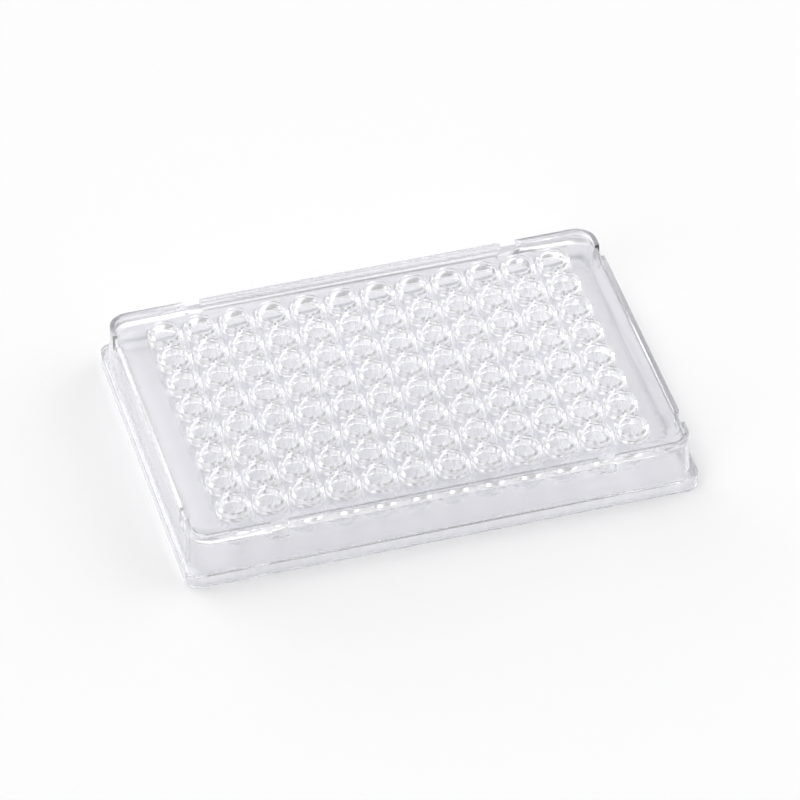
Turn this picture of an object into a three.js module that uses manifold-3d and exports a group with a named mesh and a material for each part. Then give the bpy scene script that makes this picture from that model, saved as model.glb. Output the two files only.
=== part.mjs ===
// Ninety-six well microplate, injection moulded in one piece of clear polystyrene.
// Millimetres, +Z up. The origin is at the middle of the base, on the surface that the plate
// stands on, with +X along the long side and +Y along the short side.
import * as THREE from 'three';
import { mergeVertices } from 'three/addons/utils/BufferGeometryUtils.js';
import Module from 'manifold-3d';

// Footprint and height
const baseLength = 127.76;
const baseWidth = 85.48;
const plateHeight = 14.35;

// Flange round the foot, which readers and grippers hold the plate by
const flangeHeight = 3.75;
const flangeWall = 1.1;
const flangeCornerRadius = 3.18;
const ledgeWidth = 1.3;

// Body above the flange: walls that lean in, a deck sunk below a raised rim, an open underside,
// and notches in the rim that run on as shallow recesses down the outside of the walls
const bodyCornerRadius = 5;
const bodyWall = 1.2;
const bodyDraft = 0.42;
const deckThickness = 1.9;
const rimRise = 1.1;
const rimWall = 1.2;
const notchWidth = 4.2;
const recessDrop = 4.6;
const recessDepth = 0.7;

// Wells, hung from the deck, each with a collar as high as the rim and a round bottom
const wellPitch = 9;
const wellEdgeDistance = 11;
const wellTopRadius = 3.1;
const wellBottomRadius = 3.05;
const wellDepth = 10.6;
const wellWall = 1.05;
const wellFloor = 0.8;

// Fineness of the faceted curves, and how far a cutter runs past the surface that it opens
const wellFacets = 8;
const cornerSteps = 3;
const cutterReach = 1;

const deckTop = plateHeight - rimRise;
const deckUnderside = deckTop - deckThickness;

const wasm = await Module();
wasm.setup();

function solidOf(geometry) {
  geometry.deleteAttribute('normal');
  geometry.deleteAttribute('uv');
  const merged = mergeVertices(geometry);
  return new wasm.Manifold(new wasm.Mesh({
    numProp: 3,
    vertProperties: merged.attributes.position.array,
    triVerts: Uint32Array.from(merged.index.array),
  }));
}

function geometryOf(solid) {
  const mesh = solid.getMesh();
  const geometry = new THREE.BufferGeometry();
  geometry.setAttribute('position', new THREE.BufferAttribute(mesh.vertProperties, 3));
  geometry.setIndex(new THREE.BufferAttribute(mesh.triVerts, 1));
  geometry.computeVertexNormals();
  return geometry;
}

// The footprint drawn in by an inset on every side, with round corners, counterclockwise.
function outline(inset, cornerRadius) {
  const points = [];
  for (let corner = 0; corner < 4; corner += 1) {
    const sideX = corner === 0 || corner === 3 ? 1 : -1;
    const sideY = corner < 2 ? 1 : -1;
    const centreX = sideX * (baseLength / 2 - inset - cornerRadius);
    const centreY = sideY * (baseWidth / 2 - inset - cornerRadius);
    for (let step = 0; step <= cornerSteps; step += 1) {
      const angle = (corner + step / cornerSteps) * Math.PI / 2;
      const x = centreX + cornerRadius * Math.cos(angle);
      const y = centreY + cornerRadius * Math.sin(angle);
      points.push([x, y]);
    }
  }
  return points;
}

// A closed form lofted through sections of equal point count, from the lowest one up.
function loft(sections) {
  const count = sections[0].points.length;
  const positions = sections.flatMap(({ points, height }) => points.flatMap(([x, y]) => [x, y, height]));
  const faces = [];
  for (let level = 0; level < sections.length - 1; level += 1) {
    for (let i = 0; i < count; i += 1) {
      const here = level * count + i;
      const next = level * count + (i + 1) % count;
      faces.push(here, next, next + count, here, next + count, here + count);
    }
  }
  const top = (sections.length - 1) * count;
  for (let i = 1; i < count - 1; i += 1) {
    faces.push(0, i + 1, i, top, top + i, top + i + 1);
  }
  const geometry = new THREE.BufferGeometry();
  geometry.setAttribute('position', new THREE.Float32BufferAttribute(positions, 3));
  geometry.setIndex(faces);
  return geometry;
}

// How far the drafted side of the body stands in from the footprint at a given height.
function bodyInset(height) {
  return ledgeWidth + bodyDraft * (height - flangeHeight) / (plateHeight - flangeHeight);
}

// The outer form: the upright flange, the ledge on it, and the body up to the rim.
function makeHull() {
  return loft([
    { points: outline(0, flangeCornerRadius), height: 0 },
    { points: outline(0, flangeCornerRadius), height: flangeHeight },
    { points: outline(ledgeWidth, bodyCornerRadius), height: flangeHeight },
    { points: outline(bodyInset(plateHeight), bodyCornerRadius), height: plateHeight },
  ]);
}

// The open underside, which leaves the flange wall, the ledge, the body wall and the deck.
function makeUnderside() {
  const ledgeUnderside = flangeHeight - bodyWall;
  const flangeInside = outline(flangeWall, flangeCornerRadius - flangeWall);
  const insideRadius = bodyCornerRadius - bodyWall;
  return loft([
    { points: flangeInside, height: -cutterReach },
    { points: flangeInside, height: ledgeUnderside },
    { points: outline(bodyInset(ledgeUnderside) + bodyWall, insideRadius), height: ledgeUnderside },
    { points: outline(bodyInset(deckUnderside) + bodyWall, insideRadius), height: deckUnderside },
  ]);
}

// The tray above the deck, inside the raised rim.
function makeTray() {
  const insideRadius = bodyCornerRadius - rimWall;
  const aboveRim = plateHeight + cutterReach;
  return loft([
    { points: outline(bodyInset(deckTop) + rimWall, insideRadius), height: deckTop },
    { points: outline(bodyInset(aboveRim) + rimWall, insideRadius), height: aboveRim },
  ]);
}

// Well centres on the standard grid: as many columns and rows as the footprint has room for.
const columnCount = Math.floor((baseLength - 2 * wellEdgeDistance) / wellPitch) + 1;
const rowCount = Math.floor((baseWidth - 2 * wellEdgeDistance) / wellPitch) + 1;

function columnX(column) {
  return (column - (columnCount - 1) / 2) * wellPitch;
}

function rowY(row) {
  return (row - (rowCount - 1) / 2) * wellPitch;
}

// Cutters as wide as a notch, from a level up past the rim, and from outside the footprint in to
// an inset: in the long sides at the second column from each end, and in the short sides at the
// two outer rows.
function makeSideCutters(inset, lowest) {
  const length = inset + cutterReach;
  const height = plateHeight + cutterReach - lowest;
  const outward = (cutterReach - inset) / 2;
  const places = [];
  for (const side of [-1, 1]) {
    for (const column of [1, columnCount - 2]) {
      places.push({ x: columnX(column), y: side * (baseWidth / 2 + outward), turn: Math.PI / 2 });
    }
    for (const row of [0, rowCount - 1]) {
      places.push({ x: side * (baseLength / 2 + outward), y: rowY(row), turn: 0 });
    }
  }
  return places.map(({ x, y, turn }) => {
    const cutter = new THREE.BoxGeometry(length, notchWidth, height);
    return solidOf(cutter.rotateZ(turn).translate(x, y, lowest + height / 2));
  });
}

// Notches right through the rim down to the deck, each with a shallow recess below it in the
// outside of the wall.
function makeNotches() {
  const recessFloor = plateHeight - recessDrop;
  const notches = makeSideCutters(bodyInset(deckTop) + rimWall + cutterReach, deckTop);
  const recesses = makeSideCutters(bodyInset(recessFloor) + recessDepth, recessFloor);
  return [...notches, ...recesses];
}

// A round form about the upright axis, lofted from its profile of [radius, height] points. Its
// corners lie along the grid and on its diagonals, where the bore has the most room.
function roundForm(profile) {
  const sections = profile.map(([radius, height]) => {
    const points = [];
    for (let facet = 0; facet < wellFacets; facet += 1) {
      const angle = facet * 2 * Math.PI / wellFacets;
      points.push([radius * Math.cos(angle), radius * Math.sin(angle)]);
    }
    return { points, height };
  });
  return loft(sections);
}

// Profile of a round bottom as its tangents: level at the lowest point, at 45 degrees, upright.
function roundBottom(radius, lowest) {
  const tangent = radius * Math.tan(Math.PI / 8);
  return [
    [tangent, lowest],
    [radius, lowest + radius - tangent],
  ];
}

// The well's outside, with its collar above the deck, and its bore.
function makeTube() {
  return roundForm([
    ...roundBottom(wellBottomRadius + wellWall, plateHeight - wellDepth - wellFloor),
    [wellTopRadius + wellWall, plateHeight],
  ]);
}

function makeBore() {
  return roundForm([
    ...roundBottom(wellBottomRadius, plateHeight - wellDepth),
    [wellTopRadius, plateHeight],
    [wellTopRadius, plateHeight + cutterReach],
  ]);
}

// Copies of a round form at every well centre, joined into one solid.
function atEveryWell(geometry) {
  const copies = [];
  for (let column = 0; column < columnCount; column += 1) {
    for (let row = 0; row < rowCount; row += 1) {
      copies.push(solidOf(geometry.clone().translate(columnX(column), rowY(row), 0)));
    }
  }
  return copies.reduce((joined, copy) => joined.add(copy));
}

const tray = makeNotches().reduce((joined, notch) => joined.add(notch), solidOf(makeTray()));
const shell = solidOf(makeHull()).subtract(solidOf(makeUnderside())).subtract(tray);
const plate = shell.add(atEveryWell(makeTube())).subtract(atEveryWell(makeBore()));

const clearPolystyrene = new THREE.MeshStandardMaterial({
  color: '#e9edf2',
  roughness: 0.08,
  metalness: 0,
  transparent: true,
  opacity: 0.45,
});

const wellPlate = new THREE.Mesh(geometryOf(plate), clearPolystyrene);
wellPlate.name = 'well_plate';

const microplate = new THREE.Group();
microplate.add(wellPlate);

export default microplate;
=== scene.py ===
from math import cos, pi, radians, sin

import bmesh
import bpy
from mathutils import Matrix, Vector


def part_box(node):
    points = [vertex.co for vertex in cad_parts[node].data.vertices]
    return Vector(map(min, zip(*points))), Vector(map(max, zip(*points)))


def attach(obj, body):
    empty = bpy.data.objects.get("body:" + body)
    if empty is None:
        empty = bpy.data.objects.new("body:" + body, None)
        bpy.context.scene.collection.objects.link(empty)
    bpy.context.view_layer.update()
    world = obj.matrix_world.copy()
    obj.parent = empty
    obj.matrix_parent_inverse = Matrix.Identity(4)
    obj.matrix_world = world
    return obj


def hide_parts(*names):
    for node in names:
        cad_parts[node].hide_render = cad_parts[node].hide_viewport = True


mm = 0.001
close = 0.001 * mm            # places nearer than this count as the same

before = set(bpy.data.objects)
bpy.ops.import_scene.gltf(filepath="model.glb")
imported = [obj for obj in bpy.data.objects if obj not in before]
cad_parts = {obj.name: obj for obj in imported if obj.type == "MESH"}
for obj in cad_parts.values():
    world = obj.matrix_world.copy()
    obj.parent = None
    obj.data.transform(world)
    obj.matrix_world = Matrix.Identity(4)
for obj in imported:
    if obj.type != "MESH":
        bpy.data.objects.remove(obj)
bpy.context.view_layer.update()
plateLow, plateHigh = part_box("well_plate")
print("frame loaded")


# The view: a long lens from the front left, looking down at the plate

view = {
    "azimuth": -16.74,        # degrees, clockwise from the front
    "elevation": 42.58,
    "roll": 0.568,
    "distance": 1.481,
    "lens": 276.7,
    "sensor": 36,
    "clipEnd": 20,
    "aim": (-1.39 * mm, -7.58 * mm, 14.35 * mm),
}


def addCamera():
    azimuth, elevation, roll = (radians(view[key]) for key in ("azimuth", "elevation", "roll"))
    back = Vector((sin(azimuth) * cos(elevation), -cos(azimuth) * cos(elevation), sin(elevation)))
    right = Vector((cos(azimuth), sin(azimuth), 0))
    up = back.cross(right)
    turnedRight = cos(roll) * right + sin(roll) * up
    turnedUp = cos(roll) * up - sin(roll) * right
    place = Matrix((turnedRight, turnedUp, back)).transposed().to_4x4()
    place.translation = Vector(view["aim"]) + view["distance"] * back
    bpy.ops.object.camera_add()
    camera = bpy.context.object
    camera.name = "camera"
    camera.matrix_world = place
    camera.data.lens = view["lens"]
    camera.data.sensor_width = view["sensor"]
    camera.data.clip_end = view["clipEnd"]
    bpy.context.scene.camera = camera


addCamera()
print("camera placed")


# Small helpers for edit mode

def deselectAll():
    bpy.ops.object.select_all(action="DESELECT")


def settle():
    bpy.ops.object.transform_apply(location=True, rotation=True, scale=True)


def pick(piece, kind, test):
    # selects, in edit mode, only the verts, edges or faces that the test says yes to
    bpy.ops.mesh.select_mode(type={"verts": "VERT", "edges": "EDGE", "faces": "FACE"}[kind])
    bpy.ops.mesh.select_all(action="DESELECT")
    mesh = bmesh.from_edit_mesh(piece.data)
    for item in getattr(mesh, kind):
        if test(item):
            item.select_set(True)
    mesh.select_flush_mode()
    bmesh.update_edit_mesh(piece.data)


def applyModifier(piece, kind, **settings):
    deselectAll()
    bpy.context.view_layer.objects.active = piece
    piece.select_set(True)
    modifier = piece.modifiers.new(kind.lower(), kind)
    for key, value in settings.items():
        setattr(modifier, key, value)
    bpy.ops.object.modifier_apply(modifier=modifier.name)


def combine(piece, other, operation):
    applyModifier(piece, "BOOLEAN", operation=operation, solver="EXACT", object=other)
    bpy.data.objects.remove(other)


# The moulded plate: flange, drafted body, deck, rim with notches, and the well grid

plate = {
    "length": plateHigh.x - plateLow.x,
    "width": plateHigh.y - plateLow.y,
    "height": plateHigh.z,
    "flangeHeight": 3.75 * mm,
    "flangeWall": 1.1 * mm,
    "flangeRadius": 3.18 * mm,
    "ledge": 1.3 * mm,
    "bodyRadius": 5 * mm,
    "bodyWall": 1.2 * mm,
    "draft": 0.42 * mm,       # the body's walls lean in this far between ledge and rim
    "deck": 1.9 * mm,
    "rimRise": 1.1 * mm,
    "rimWall": 1.2 * mm,
    "notch": 4.2 * mm,
    "recessDrop": 4.6 * mm,   # how far below the rim each notch's recess ends
    "recess": 0.7 * mm,
    "edgeRound": 0.12 * mm,
    "edgeSteps": 2,
    "edgeAngle": 40,          # degrees, and sharper edges than this are rounded
    "smoothAngle": 35,        # degrees, and flatter edges than this are shaded smooth
    "cornerSteps": 10,
    "cutterReach": 1 * mm,    # cutters run this far past the faces that they open
}
plate["deckTop"] = plate["height"] - plate["rimRise"]
plate["deckUnder"] = plate["deckTop"] - plate["deck"]

wells = {
    "columns": 12,
    "rows": 8,
    "pitch": 9 * mm,
    "topRadius": 3.1 * mm,
    "bottomRadius": 3.05 * mm,
    "depth": 10.6 * mm,
    "wall": 1.05 * mm,
    "floor": 0.8 * mm,
    "lipRound": 0.2 * mm,     # rounding of the collar's two top edges
    "footRound": 0.15 * mm,   # fillets where collar and tube meet the deck
    "sides": 32,              # round a well, and 8 along each side of its tile
    "bowlSteps": 7,
    "roundSteps": 2,
    "pole": 0.0001 * mm,      # radius of the last ring, which is then merged into one point
    "weld": 0.002 * mm,       # the tiles' edges join within this distance
}


def bodyInset(height):
    rise = (height - plate["flangeHeight"]) / (plate["height"] - plate["flangeHeight"])
    return plate["ledge"] + plate["draft"] * rise


def addBlock(name, inset, low, high, radius, topInset=None):
    # an upright block with round corners, inset from the footprint, leaning in to topInset
    length = plate["length"] - 2 * inset
    width = plate["width"] - 2 * inset
    deselectAll()
    bpy.ops.mesh.primitive_cube_add(
        size=1, location=(0, 0, (low + high) / 2), scale=(length, width, high - low))
    block = bpy.context.object
    block.name = name
    settle()
    bpy.ops.object.mode_set(mode="EDIT")
    pick(block, "edges", lambda edge: abs(edge.verts[0].co.z - edge.verts[1].co.z) > (high - low) / 2)
    bpy.ops.mesh.bevel(offset=radius, segments=plate["cornerSteps"], affect="EDGES")
    if topInset is not None:
        shrink = 2 * (topInset - inset)
        pick(block, "verts", lambda vert: vert.co.z > (low + high) / 2)
        bpy.ops.transform.resize(
            value=((length - shrink) / length, (width - shrink) / width, 1),
            center_override=(0, 0, high),
        )
    bpy.ops.object.mode_set(mode="OBJECT")
    return block


def makeBody():
    height, flangeHeight = plate["height"], plate["flangeHeight"]
    reach = plate["cutterReach"]
    ledgeUnder = flangeHeight - plate["bodyWall"]
    body = addBlock("microplate", 0, 0, flangeHeight, plate["flangeRadius"])
    upper = addBlock(
        "upper", bodyInset(ledgeUnder), ledgeUnder, height, plate["bodyRadius"], bodyInset(height))
    combine(body, upper, "UNION")

    innerRadius = plate["bodyRadius"] - plate["bodyWall"]
    footRadius = plate["flangeRadius"] - plate["flangeWall"]
    foot = addBlock("foot", plate["flangeWall"], -reach, ledgeUnder, footRadius)
    hollowLow = bodyInset(0) + plate["bodyWall"]
    hollowHigh = bodyInset(plate["deckUnder"]) + plate["bodyWall"]
    hollow = addBlock("hollow", hollowLow, 0, plate["deckUnder"], innerRadius, hollowHigh)
    combine(body, foot, "DIFFERENCE")
    combine(body, hollow, "DIFFERENCE")

    deckTop = plate["deckTop"]
    trayInset = bodyInset(deckTop) + plate["rimWall"]
    tray = addBlock("tray", trayInset, deckTop, height + reach, plate["bodyRadius"] - plate["rimWall"])
    combine(body, tray, "DIFFERENCE")
    recessFloor = height - plate["recessDrop"]
    combine(body, makeCutters(trayInset + reach, deckTop), "DIFFERENCE")
    combine(body, makeCutters(bodyInset(recessFloor) + plate["recess"], recessFloor), "DIFFERENCE")

    applyModifier(
        body, "BEVEL",
        width=plate["edgeRound"], segments=plate["edgeSteps"],
        limit_method="ANGLE", angle_limit=radians(plate["edgeAngle"]), harden_normals=False,
    )
    return body


def makeCutters(inset, lowest):
    # eight cutters in one piece, from outside in to an inset: in the long sides at the second
    # columns from the ends, and in the short sides at the outer rows
    reach = plate["cutterReach"]
    deep = inset + reach
    tall = plate["height"] + reach - lowest
    columnX = (wells["columns"] - 3) / 2 * wells["pitch"]
    rowY = (wells["rows"] - 1) / 2 * wells["pitch"]
    sideX = plate["length"] / 2 - inset + deep / 2
    sideY = plate["width"] / 2 - inset + deep / 2
    deselectAll()
    cutters = []
    for side in (-1, 1):
        for end in (-1, 1):
            spots = (
                ((end * columnX, side * sideY), (plate["notch"], deep)),
                ((side * sideX, end * rowY), (deep, plate["notch"])),
            )
            for (x, y), (sizeX, sizeY) in spots:
                bpy.ops.mesh.primitive_cube_add(
                    size=1, location=(x, y, lowest + tall / 2), scale=(sizeX, sizeY, tall))
                cutters.append(bpy.context.object)
    for cutter in cutters:
        cutter.select_set(True)
    settle()
    bpy.ops.object.join()
    return bpy.context.object


def arc(centreRadius, centreHeight, radius, start, end, steps):
    # points of an arc in a well's profile, after its first, as (radius, height)
    points = []
    for step in range(1, steps + 1):
        angle = radians(start + (end - start) * step / steps)
        points.append((centreRadius + radius * cos(angle), centreHeight + radius * sin(angle)))
    return points


def tubeRadius(height):
    top, bottom = wells["topRadius"] + wells["wall"], wells["bottomRadius"] + wells["wall"]
    equator = plate["height"] - wells["depth"] - wells["floor"] + bottom
    return bottom + (top - bottom) * (height - equator) / (plate["height"] - equator)


def upperProfile():
    # from the deck up over the collar and down the bore to the lowest point of the round bottom
    top, deckTop = plate["height"], plate["deckTop"]
    foot, lip, steps = wells["footRound"], wells["lipRound"], wells["roundSteps"]
    outside, inside, bowl = tubeRadius(top), wells["topRadius"], wells["bottomRadius"]
    points = [(tubeRadius(deckTop) + foot, deckTop)]
    points += arc(tubeRadius(deckTop) + foot, deckTop + foot, foot, 270, 180, steps)
    points.append((outside, top - lip))
    points += arc(outside - lip, top - lip, lip, 0, 90, steps)
    points.append((inside + lip, top))
    points += arc(inside + lip, top - lip, lip, 90, 180, steps)
    equator = top - wells["depth"] + bowl
    points.append((bowl, equator))
    points += arc(0, equator, bowl, 0, -90, wells["bowlSteps"])
    return points


def lowerProfile():
    # from the deck's underside down the tube to its lowest point
    deckUnder, foot = plate["deckUnder"], wells["footRound"]
    bowl = wells["bottomRadius"] + wells["wall"]
    equator = plate["height"] - wells["depth"] - wells["floor"] + bowl
    points = [(tubeRadius(deckUnder) + foot, deckUnder)]
    points += arc(tubeRadius(deckUnder) + foot, deckUnder - foot, foot, 90, 180, wells["roundSteps"])
    points.append((bowl, equator))
    points += arc(0, equator, bowl, 0, -90, wells["bowlSteps"])
    return points


def addWellSkin(tile, centre, profile):
    # a square of deck with a round hole, whose rim is drawn ring by ring along the profile
    startRadius, level = profile[0]
    place = (centre.x, centre.y, level)
    spans = wells["sides"] // 4
    half = wells["pitch"] / 2
    bpy.ops.mesh.select_all(action="DESELECT")
    bpy.ops.mesh.primitive_grid_add(
        x_subdivisions=spans, y_subdivisions=spans, size=wells["pitch"], location=place)
    inner = half - wells["pitch"] / spans / 2
    pick(tile, "verts", lambda vert: (
        abs(vert.co.z - level) < close
        and abs(vert.co.x - centre.x) < inner and abs(vert.co.y - centre.y) < inner
        and not vert.hide and vert.link_faces and len(vert.link_edges) == 4
    ))
    bpy.ops.mesh.delete(type="VERT")
    bpy.ops.mesh.select_all(action="DESELECT")
    bpy.ops.mesh.primitive_circle_add(vertices=wells["sides"], radius=startRadius, location=place)
    pick(tile, "edges", lambda edge: not edge.link_faces)
    bpy.ops.mesh.bridge_edge_loops()
    pick(tile, "verts", lambda vert: (
        abs(vert.co.z - level) < close and (vert.co - Vector(place)).length < startRadius + close
    ))
    radius, height = profile[0]
    for profileRadius, nextHeight in profile[1:]:
        nextRadius = max(profileRadius, wells["pole"])
        scale = nextRadius / radius
        bpy.ops.mesh.extrude_edges_move(
            TRANSFORM_OT_translate={"value": (0, 0, nextHeight - height)})
        bpy.ops.transform.resize(
            value=(scale, scale, 1), center_override=(centre.x, centre.y, nextHeight))
        radius, height = nextRadius, nextHeight
    bpy.ops.mesh.merge(type="CENTER")


def makeWells():
    columns, rows, pitch = wells["columns"], wells["rows"], wells["pitch"]
    first = Vector((-(columns - 1) / 2 * pitch, -(rows - 1) / 2 * pitch, 0))
    deselectAll()
    bpy.ops.mesh.primitive_plane_add(size=1 * mm, location=first)
    tile = bpy.context.object
    tile.name = "wells"
    settle()
    bpy.ops.object.mode_set(mode="EDIT")
    bpy.ops.mesh.select_all(action="SELECT")
    bpy.ops.mesh.delete(type="VERT")
    addWellSkin(tile, first, upperProfile())
    addWellSkin(tile, first, lowerProfile())
    bpy.ops.object.mode_set(mode="OBJECT")
    for count, step in ((columns, (pitch, 0, 0)), (rows, (0, pitch, 0))):
        applyModifier(
            tile, "ARRAY", count=count,
            use_relative_offset=False, use_constant_offset=True, constant_offset_displace=step,
            use_merge_vertices=True, merge_threshold=wells["weld"],
        )
    return tile


def makePlate():
    # the body with its two deck faces taken out, and the well grid set into the gap
    body = makeBody()
    print("body moulded:", len(body.data.polygons), "faces")
    grid = makeWells()
    print("wells made:", len(grid.data.polygons), "faces")
    levels = (plate["deckTop"], plate["deckUnder"])
    halfDeck = plate["length"] * plate["width"] / 2
    deselectAll()
    bpy.context.view_layer.objects.active = body
    bpy.ops.object.mode_set(mode="EDIT")
    pick(body, "faces", lambda face: face.calc_area() > halfDeck)
    bpy.ops.mesh.delete(type="ONLY_FACE")
    bpy.ops.object.mode_set(mode="OBJECT")
    body.select_set(True)
    grid.select_set(True)
    bpy.context.view_layer.objects.active = body
    bpy.ops.object.join()
    bpy.ops.object.mode_set(mode="EDIT")
    for level in levels:
        pick(body, "edges", lambda edge: (
            len(edge.link_faces) == 1 and all(abs(vert.co.z - level) < close for vert in edge.verts)
        ))
        bpy.ops.mesh.fill(use_beauty=False)
    bpy.ops.mesh.select_all(action="SELECT")
    bpy.ops.mesh.normals_make_consistent(inside=False)
    bpy.ops.object.mode_set(mode="OBJECT")
    bpy.ops.object.shade_smooth_by_angle(angle=radians(plate["smoothAngle"]))
    return body


microplate = makePlate()
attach(microplate, "root")
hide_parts("well_plate")
print("plate joined:", len(microplate.data.polygons), "faces")


# Materials

def linear(hexColour):
    # an sRGB hex colour as the linear one that nodes take
    channels = [int(hexColour[i:i + 2], 16) / 255 for i in (1, 3, 5)]
    return [c / 12.92 if c <= 0.04045 else ((c + 0.055) / 1.055) ** 2.4 for c in channels] + [1]


def startMaterial(name):
    material = bpy.data.materials.new(name)
    material.use_nodes = True
    material.node_tree.nodes.clear()
    return material


def addNode(tree, kind, settings=None, **inputs):
    # adds a node, sets its properties, and fills or links its inputs by name
    node = tree.nodes.new(kind)
    for key, value in (settings or {}).items():
        setattr(node, key, value)
    for key, value in inputs.items():
        byNumber = key[0] == "i" and key[1:].isdigit()
        socket = node.inputs[int(key[1:]) if byNumber else key.replace("_", " ")]
        if isinstance(value, bpy.types.NodeSocket):
            tree.links.new(value, socket)
        else:
            socket.default_value = value
    return node


def multiply(tree, first, second):
    return addNode(
        tree, "ShaderNodeMath", {"operation": "MULTIPLY"}, i0=first.outputs[0], i1=second.outputs[0])


polystyrene = {
    "polishedUnshaded": "#fcfcfd",    # water clear, with the faint cool cast of crystal polystyrene
    "texturedPaintedShade": "#f3f3f6",    # the same plastic, made greyer on the deck, rim, walls and flange: painted shade
    "index": 1.59,
    "polish": 0.03,
    "texture": 0.12,
    "unshadedPolishTo": 4.2 * mm,     # the polish and the plastic's clear colour end at this radius round each well
    "textureAndShadeFrom": 4.3 * mm,  # and the texture and the painted shade are full from this one
    "rippleSize": 14 * mm,    # slow waves that the flow of the melt leaves in the faces
    "rippleHeight": 0.0015 * mm,
}


def polishedUnshadedWells(tree, place):
    # 1 on the wells and their collars, and 0 on the deck, rim, walls and flange, which get the texture
    # and the painted shade
    pitch = wells["pitch"]
    parts = addNode(tree, "ShaderNodeSeparateXYZ", Vector=place)
    across, inside = [], []
    for axis, count in (("X", wells["columns"]), ("Y", wells["rows"])):
        along = parts.outputs[axis]
        cell = addNode(tree, "ShaderNodeMath", {"operation": "WRAP"}, i0=along, i1=pitch, i2=0.0)
        across.append(addNode(
            tree, "ShaderNodeMath", {"operation": "SUBTRACT"}, i0=cell.outputs[0], i1=pitch / 2))
        away = addNode(tree, "ShaderNodeMath", {"operation": "ABSOLUTE"}, i0=along)
        edge = count * pitch / 2
        inside.append(addNode(
            tree, "ShaderNodeMath", {"operation": "LESS_THAN"}, i0=away.outputs[0], i1=edge))
    flat = addNode(tree, "ShaderNodeCombineXYZ", X=across[0].outputs[0], Y=across[1].outputs[0])
    reach = addNode(tree, "ShaderNodeVectorMath", {"operation": "LENGTH"}, i0=flat.outputs[0])
    near = addNode(
        tree, "ShaderNodeMapRange", Value=reach.outputs["Value"],
        i1=polystyrene["unshadedPolishTo"], i2=polystyrene["textureAndShadeFrom"], i3=1.0, i4=0.0,
    )
    return multiply(tree, multiply(tree, inside[0], inside[1]), near).outputs[0]


def mouldedPolystyrene():
    # crystal polystyrene, injection moulded: clear and glossy wells where the mould has a polish, with
    # bright bent edges, and a very fine texture on the deck and walls, whose colour is made greyer as
    # painted shade
    material = startMaterial("moulded_clear_polystyrene")
    tree = material.node_tree
    place = addNode(tree, "ShaderNodeTexCoord").outputs["Object"]
    polishedUnshaded = polishedUnshadedWells(tree, place)
    # the deck, rim, walls and flange take the greyer colour, which is painted shade; the rougher
    # finish there is real texture
    colour = addNode(
        tree, "ShaderNodeMix", {"data_type": "RGBA"},
        i0=polishedUnshaded, i6=linear(polystyrene["texturedPaintedShade"]), i7=linear(polystyrene["polishedUnshaded"]),
    )
    roughness = addNode(
        tree, "ShaderNodeMapRange",
        Value=polishedUnshaded, i3=polystyrene["texture"], i4=polystyrene["polish"],
    )
    waves = addNode(
        tree, "ShaderNodeTexNoise", Vector=place, Scale=1 / polystyrene["rippleSize"], Detail=1.0,
    )
    bump = addNode(
        tree, "ShaderNodeBump",
        Strength=1.0, Distance=polystyrene["rippleHeight"], Height=waves.outputs["Fac"],
    )
    plastic = addNode(
        tree, "ShaderNodeBsdfPrincipled",
        Base_Color=colour.outputs[2], Roughness=roughness.outputs[0],
        IOR=polystyrene["index"], Transmission_Weight=1.0, Normal=bump.outputs["Normal"],
    )
    addNode(tree, "ShaderNodeOutputMaterial", Surface=plastic.outputs["BSDF"])
    return material


microplate.data.materials.clear()
microplate.data.materials.append(mouldedPolystyrene())
print("plastic ready")


# The studio: a white paper floor in a pale room, with dark cloths hung round the table. They keep
# glare off the deck and the ledge, and leave grey between the wells' bright rings.
studio = {
    "floorSize": 8,
    "floorDrop": 0.02 * mm,   # gap between the foot and the paper, so that they don't share a plane
    "paper": "#f8f8f8",
    "light": 1.8,             # brightness of the room's walls, where 1 is white
    "behind": 0.5,            # how much brighter they are behind the plate, and darker before it
    "overhead": 1.3,          # how many times brighter the room is overhead
    "cloths": (               # degrees from the front, height, outer edge, full shade; light left
        (0, 5, 55, 25, 0.12),
        (155, 36, 40, 14, 0.2),
        (38, 73, 38, 20, 0.1),
        (-110, 30, 38, 18, 0.15),
    ),
    "clearBounces": 64,
    "paperBounces": 12,
}


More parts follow.
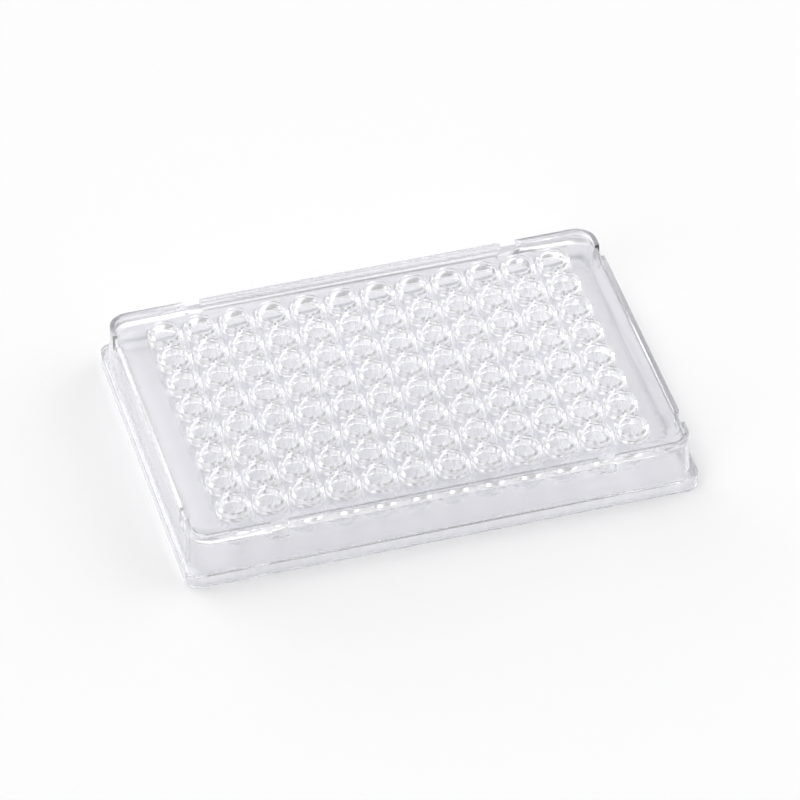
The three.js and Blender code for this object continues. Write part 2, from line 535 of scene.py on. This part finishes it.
def whitePaper():
    # matt white background paper, which takes the soft shadow
    material = startMaterial("white_paper_sweep")
    tree = material.node_tree
    paper = addNode(tree, "ShaderNodeBsdfDiffuse", Color=linear(studio["paper"]))
    addNode(tree, "ShaderNodeOutputMaterial", Surface=paper.outputs[0])
    return material


def addStudio():
    deselectAll()
    bpy.ops.mesh.primitive_plane_add(size=studio["floorSize"], location=(0, 0, -studio["floorDrop"]))
    floor = bpy.context.object
    floor.name = "paper_sweep"
    floor.data.materials.append(whitePaper())

    world = bpy.data.worlds.new("pale_room")
    bpy.context.scene.world = world
    world.use_nodes = True
    tree = world.node_tree
    tree.nodes.clear()
    place = addNode(tree, "ShaderNodeTexCoord")
    side = addNode(tree, "ShaderNodeSeparateXYZ", Vector=place.outputs["Generated"])
    depth = addNode(
        tree, "ShaderNodeMapRange",
        Value=side.outputs["Y"], i1=-1.0, i2=1.0, i3=1 - studio["behind"], i4=1 + studio["behind"],
    )
    overhead = studio["light"] * studio["overhead"]
    height = addNode(
        tree, "ShaderNodeMapRange",
        Value=side.outputs["Z"], i1=0.0, i2=1.0, i3=studio["light"], i4=overhead,
    )
    light = multiply(tree, depth, height)
    for turn, rise, outerEdge, fullShade, left in studio["cloths"]:
        around, up = radians(turn), radians(rise)
        centre = (cos(up) * sin(around), -cos(up) * cos(around), sin(up))
        toward = addNode(
            tree, "ShaderNodeVectorMath", {"operation": "DOT_PRODUCT"},
            i0=place.outputs["Generated"], i1=centre,
        )
        shade = addNode(
            tree, "ShaderNodeMapRange", {"interpolation_type": "SMOOTHSTEP"},
            Value=toward.outputs["Value"],
            i1=cos(radians(outerEdge)), i2=cos(radians(fullShade)), i3=1.0, i4=left,
        )
        light = multiply(tree, light, shade)
    room = addNode(tree, "ShaderNodeBackground", Color=linear("#ffffff"), Strength=light.outputs[0])
    addNode(tree, "ShaderNodeOutputWorld", Surface=room.outputs[0])


addStudio()
cycles = bpy.context.scene.cycles
cycles.max_bounces = studio["clearBounces"]
cycles.glossy_bounces = studio["clearBounces"]
cycles.transmission_bounces = studio["clearBounces"]
cycles.diffuse_bounces = studio["paperBounces"]
cycles.blur_glossy = 0        # light keeps its true path through the clear walls to the paper
bpy.context.scene.view_settings.view_transform = "Standard"
print("studio lit")
